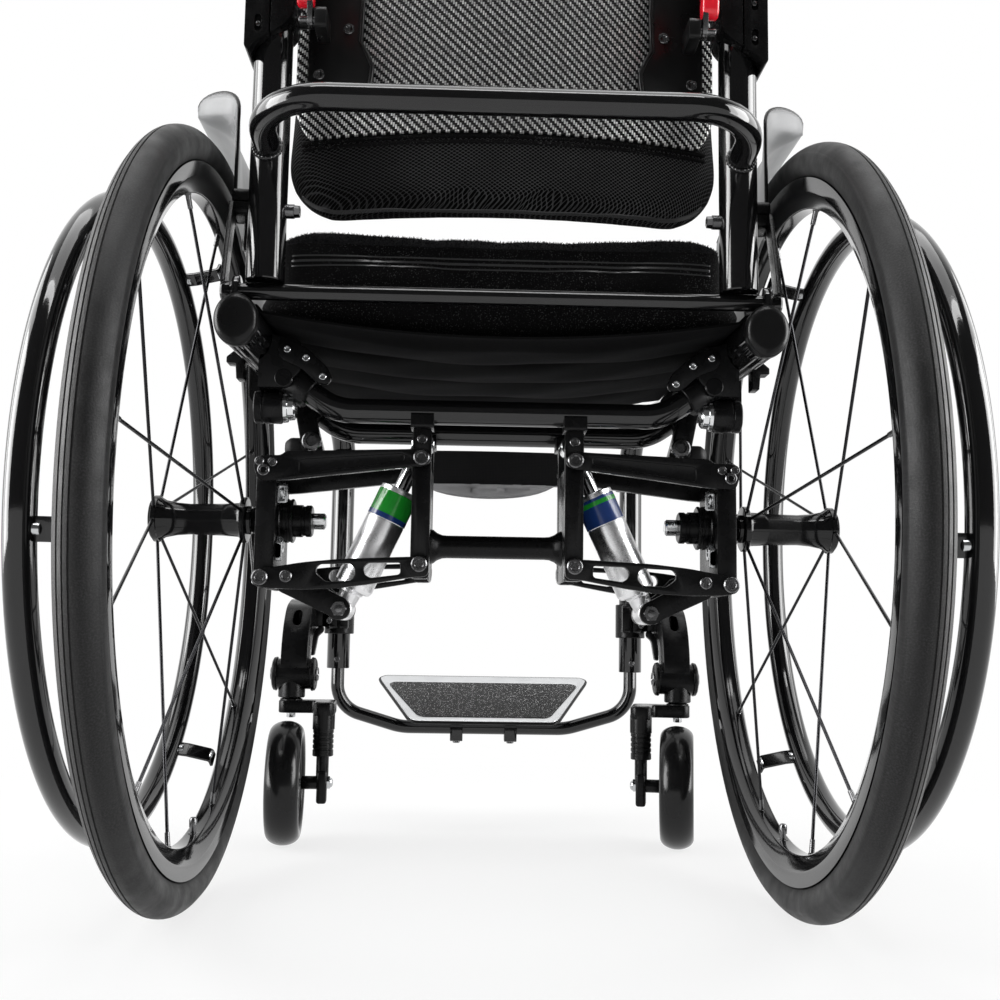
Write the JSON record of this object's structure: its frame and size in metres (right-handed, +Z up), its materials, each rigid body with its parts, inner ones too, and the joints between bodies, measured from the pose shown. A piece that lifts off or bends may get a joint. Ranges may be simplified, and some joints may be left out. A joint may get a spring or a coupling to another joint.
{
  "type": "rigid wheelchair",
  "caption": "Rigid-frame wheelchair with sprung rear wheels, swivelling casters, fold-forward padded back, push bar and tilted footplate.",
  "frame": {"origin": "middle of the bounding box on the floor, under the seat", "axes": "+Z up; +Y forwards, the way the seated person faces; +X to the chair's right"},
  "size_m": [0.5822, 0.7834, 0.8001],
  "materials": {
    "gloss_black": "glossy black coat on aluminium tube",
    "satin_black": "satin black anodised aluminium",
    "cap_black": "satin black moulded cap",
    "hub_black": "black moulded hub",
    "tyre_rubber": "matte dark grey rubber",
    "caster_rubber": "smooth black rubber",
    "polished_aluminium": "polished",
    "pale_aluminium": "satin",
    "grip_pad": "coarse speckled grip",
    "seat_cloth": "black woven cloth",
    "back_mesh": "black spacer mesh",
    "carbon_twill": "clear-coated carbon fibre twill",
    "red_lever": "glossy red",
    "guard_grey": "grey moulded sheet"
  },
  "bodies": {
    "frame": {"side_frame_L": "gloss_black", "side_frame_R": "gloss_black", "rail_cap_L": "cap_black", "rail_cap_R": "cap_black", "rail_clamp_L": "satin_black", "rail_clamp_R": "satin_black", "cross_tube_rear": "gloss_black", "cross_tube_front": "gloss_black", "suspension_carrier": "satin_black", "seat_sling": "seat_cloth", "seat_cushion": "seat_cloth", "calf_strap": "seat_cloth", "foot_tube": "gloss_black", "footplate": "pale_aluminium", "grip_pad": "grip_pad", "caster_bracket_L": "satin_black", "caster_bracket_R": "satin_black", "side_guard_L": "guard_grey", "side_guard_R": "guard_grey"},
    "back": {"hinge_bar": "gloss_black", "push_bar": "gloss_black", "back_cane_L": "gloss_black", "back_cane_R": "gloss_black", "cane_clamp_L": "satin_black", "cane_clamp_R": "satin_black", "shell_bracket_L": "satin_black", "shell_bracket_R": "satin_black", "back_shell": "carbon_twill", "back_cushion": "back_mesh"},
    "release_lever_L": {"release_lever_L": "red_lever"},
    "lower_arm_L": {"lower_arm_L": "satin_black"},
    "upper_arm_L": {"upper_arm_L": "satin_black"},
    "upright_L": {"upright_L": "satin_black", "axle_L": "polished_aluminium"},
    "shock_body_L": {"shock_body_L": "polished_aluminium"},
    "shock_rod_L": {"shock_rod_L": "polished_aluminium"},
    "wheel_L": {"tyre_L": "tyre_rubber", "wheel_L": "gloss_black", "handrim_L": "gloss_black"},
    "axle_button_L": {"axle_button_L": "satin_black"},
    "caster_fork_L": {"caster_fork_L": "satin_black"},
    "caster_leg_L": {"caster_leg_L": "satin_black"},
    "caster_wheel_L": {"caster_tyre_L": "caster_rubber", "caster_hub_L": "hub_black"},
    "release_lever_R": {"release_lever_R": "red_lever"},
    "lower_arm_R": {"lower_arm_R": "satin_black"},
    "upper_arm_R": {"upper_arm_R": "satin_black"},
    "upright_R": {"upright_R": "satin_black", "axle_R": "polished_aluminium"},
    "shock_body_R": {"shock_body_R": "polished_aluminium"},
    "shock_rod_R": {"shock_rod_R": "polished_aluminium"},
    "wheel_R": {"tyre_R": "tyre_rubber", "wheel_R": "gloss_black", "handrim_R": "gloss_black"},
    "axle_button_R": {"axle_button_R": "satin_black"},
    "caster_fork_R": {"caster_fork_R": "satin_black"},
    "caster_leg_R": {"caster_leg_R": "satin_black"},
    "caster_wheel_R": {"caster_tyre_R": "caster_rubber", "caster_hub_R": "hub_black"}
  },
  "joints": [
    {"name": "back_fold", "type": "hinge", "parent": "frame", "child": "back", "pos_m": [0, -0.1872, 0.4525], "axis": [-1, 0, 0], "range_deg": [0, 35], "deforming": ["seat_cushion"]},
    {"name": "lever_L", "type": "hinge", "parent": "back", "child": "release_lever_L", "pos_m": [-0.142, -0.2162, 0.645], "axis": [1, 0, 0], "range_deg": [0, 30], "stiffness_Nm_per_rad": 0.05, "springref_deg": -28.65},
    {"name": "suspension_L", "type": "hinge", "parent": "frame", "child": "lower_arm_L", "pos_m": [-0.058, -0.0972, 0.2603], "axis": [0, 1, 0], "range_deg": [0, 7], "stiffness_Nm_per_rad": 370, "springref_deg": -2.29},
    {"name": "upper_link_L", "type": "hinge", "parent": "frame", "child": "upper_arm_L", "pos_m": [-0.058, -0.0972, 0.3405], "axis": [0, 1, 0], "range_deg": [0, 7.2]},
    {"name": "upright_pivot_L", "type": "hinge", "parent": "lower_arm_L", "child": "upright_L", "pos_m": [-0.1755, -0.0972, 0.2485], "axis": [0, 1, 0], "range_deg": [-7.2, 0]},
    {"name": "shock_eye_L", "type": "hinge", "parent": "lower_arm_L", "child": "shock_body_L", "pos_m": [-0.1188, -0.0972, 0.2268], "axis": [0, 1, 0], "range_deg": [-4.6, 0]},
    {"name": "shock_stroke_L", "type": "slide", "parent": "shock_body_L", "child": "shock_rod_L", "axis": [0.4176, 0, 0.9086], "range_m": [-0.0055, 0]},
    {"name": "wheel_spin_L", "type": "hinge", "parent": "upright_L", "child": "wheel_L", "pos_m": [-0.2335, -0.0972, 0.295], "axis": [1, 0, 0], "continuous": true},
    {"name": "axle_release_L", "type": "slide", "parent": "upright_L", "child": "axle_button_L", "axis": [1, 0, 0], "range_m": [0, 0.003], "stiffness_N_per_m": 200, "springref_m": -0.004},
    {"name": "caster_swivel_L", "type": "hinge", "parent": "frame", "child": "caster_fork_L", "pos_m": [-0.201, 0.2208, 0.1255], "axis": [0, 0, 1], "continuous": true},
    {"name": "caster_spring_L", "type": "slide", "parent": "caster_fork_L", "child": "caster_leg_L", "axis": [0, 0, 1], "range_m": [0, 0.008], "stiffness_N_per_m": 12000, "springref_m": -0.006},
    {"name": "caster_roll_L", "type": "hinge", "parent": "caster_leg_L", "child": "caster_wheel_L", "pos_m": [-0.19786, 0.17591, 0.06], "axis": [0.9976, 0.0698, 0], "continuous": true},
    {"name": "lever_R", "type": "hinge", "parent": "back", "child": "release_lever_R", "pos_m": [0.142, -0.2162, 0.645], "axis": [1, 0, 0], "range_deg": [0, 30], "stiffness_Nm_per_rad": 0.05, "springref_deg": -28.65},
    {"name": "suspension_R", "type": "hinge", "parent": "frame", "child": "lower_arm_R", "pos_m": [0.058, -0.0972, 0.2603], "axis": [0, -1, 0], "range_deg": [0, 7], "stiffness_Nm_per_rad": 370, "springref_deg": -2.29},
    {"name": "upper_link_R", "type": "hinge", "parent": "frame", "child": "upper_arm_R", "pos_m": [0.058, -0.0972, 0.3405], "axis": [0, -1, 0], "range_deg": [0, 7.2]},
    {"name": "upright_pivot_R", "type": "hinge", "parent": "lower_arm_R", "child": "upright_R", "pos_m": [0.1755, -0.0972, 0.2485], "axis": [0, -1, 0], "range_deg": [-7.2, 0]},
    {"name": "shock_eye_R", "type": "hinge", "parent": "lower_arm_R", "child": "shock_body_R", "pos_m": [0.1188, -0.0972, 0.2268], "axis": [0, -1, 0], "range_deg": [-4.6, 0]},
    {"name": "shock_stroke_R", "type": "slide", "parent": "shock_body_R", "child": "shock_rod_R", "axis": [-0.4176, 0, 0.9086], "range_m": [-0.0055, 0]},
    {"name": "wheel_spin_R", "type": "hinge", "parent": "upright_R", "child": "wheel_R", "pos_m": [0.2335, -0.0972, 0.295], "axis": [1, 0, 0], "continuous": true},
    {"name": "axle_release_R", "type": "slide", "parent": "upright_R", "child": "axle_button_R", "axis": [-1, 0, 0], "range_m": [0, 0.003], "stiffness_N_per_m": 200, "springref_m": -0.004},
    {"name": "caster_swivel_R", "type": "hinge", "parent": "frame", "child": "caster_fork_R", "pos_m": [0.201, 0.2208, 0.1255], "axis": [0, 0, 1], "continuous": true},
    {"name": "caster_spring_R", "type": "slide", "parent": "caster_fork_R", "child": "caster_leg_R", "axis": [0, 0, 1], "range_m": [0, 0.008], "stiffness_N_per_m": 12000, "springref_m": -0.006},
    {"name": "caster_roll_R", "type": "hinge", "parent": "caster_leg_R", "child": "caster_wheel_R", "pos_m": [0.19241, 0.17663, 0.06], "axis": [0.9816, -0.1908, 0], "continuous": true}
  ],
  "couplings": [
    {"joint": "upper_link_L", "follows": "suspension_L", "ratio": 1},
    {"joint": "upright_pivot_L", "follows": "suspension_L", "ratio": -1},
    {"joint": "shock_eye_L", "follows": "suspension_L", "ratio": -0.6163},
    {"joint": "shock_stroke_L", "follows": "suspension_L", "m_per_rad": -0.04273},
    {"joint": "upper_link_R", "follows": "suspension_R", "ratio": 1},
    {"joint": "upright_pivot_R", "follows": "suspension_R", "ratio": -1},
    {"joint": "shock_eye_R", "follows": "suspension_R", "ratio": -0.6163},
    {"joint": "shock_stroke_R", "follows": "suspension_R", "m_per_rad": -0.04273}
  ]
}
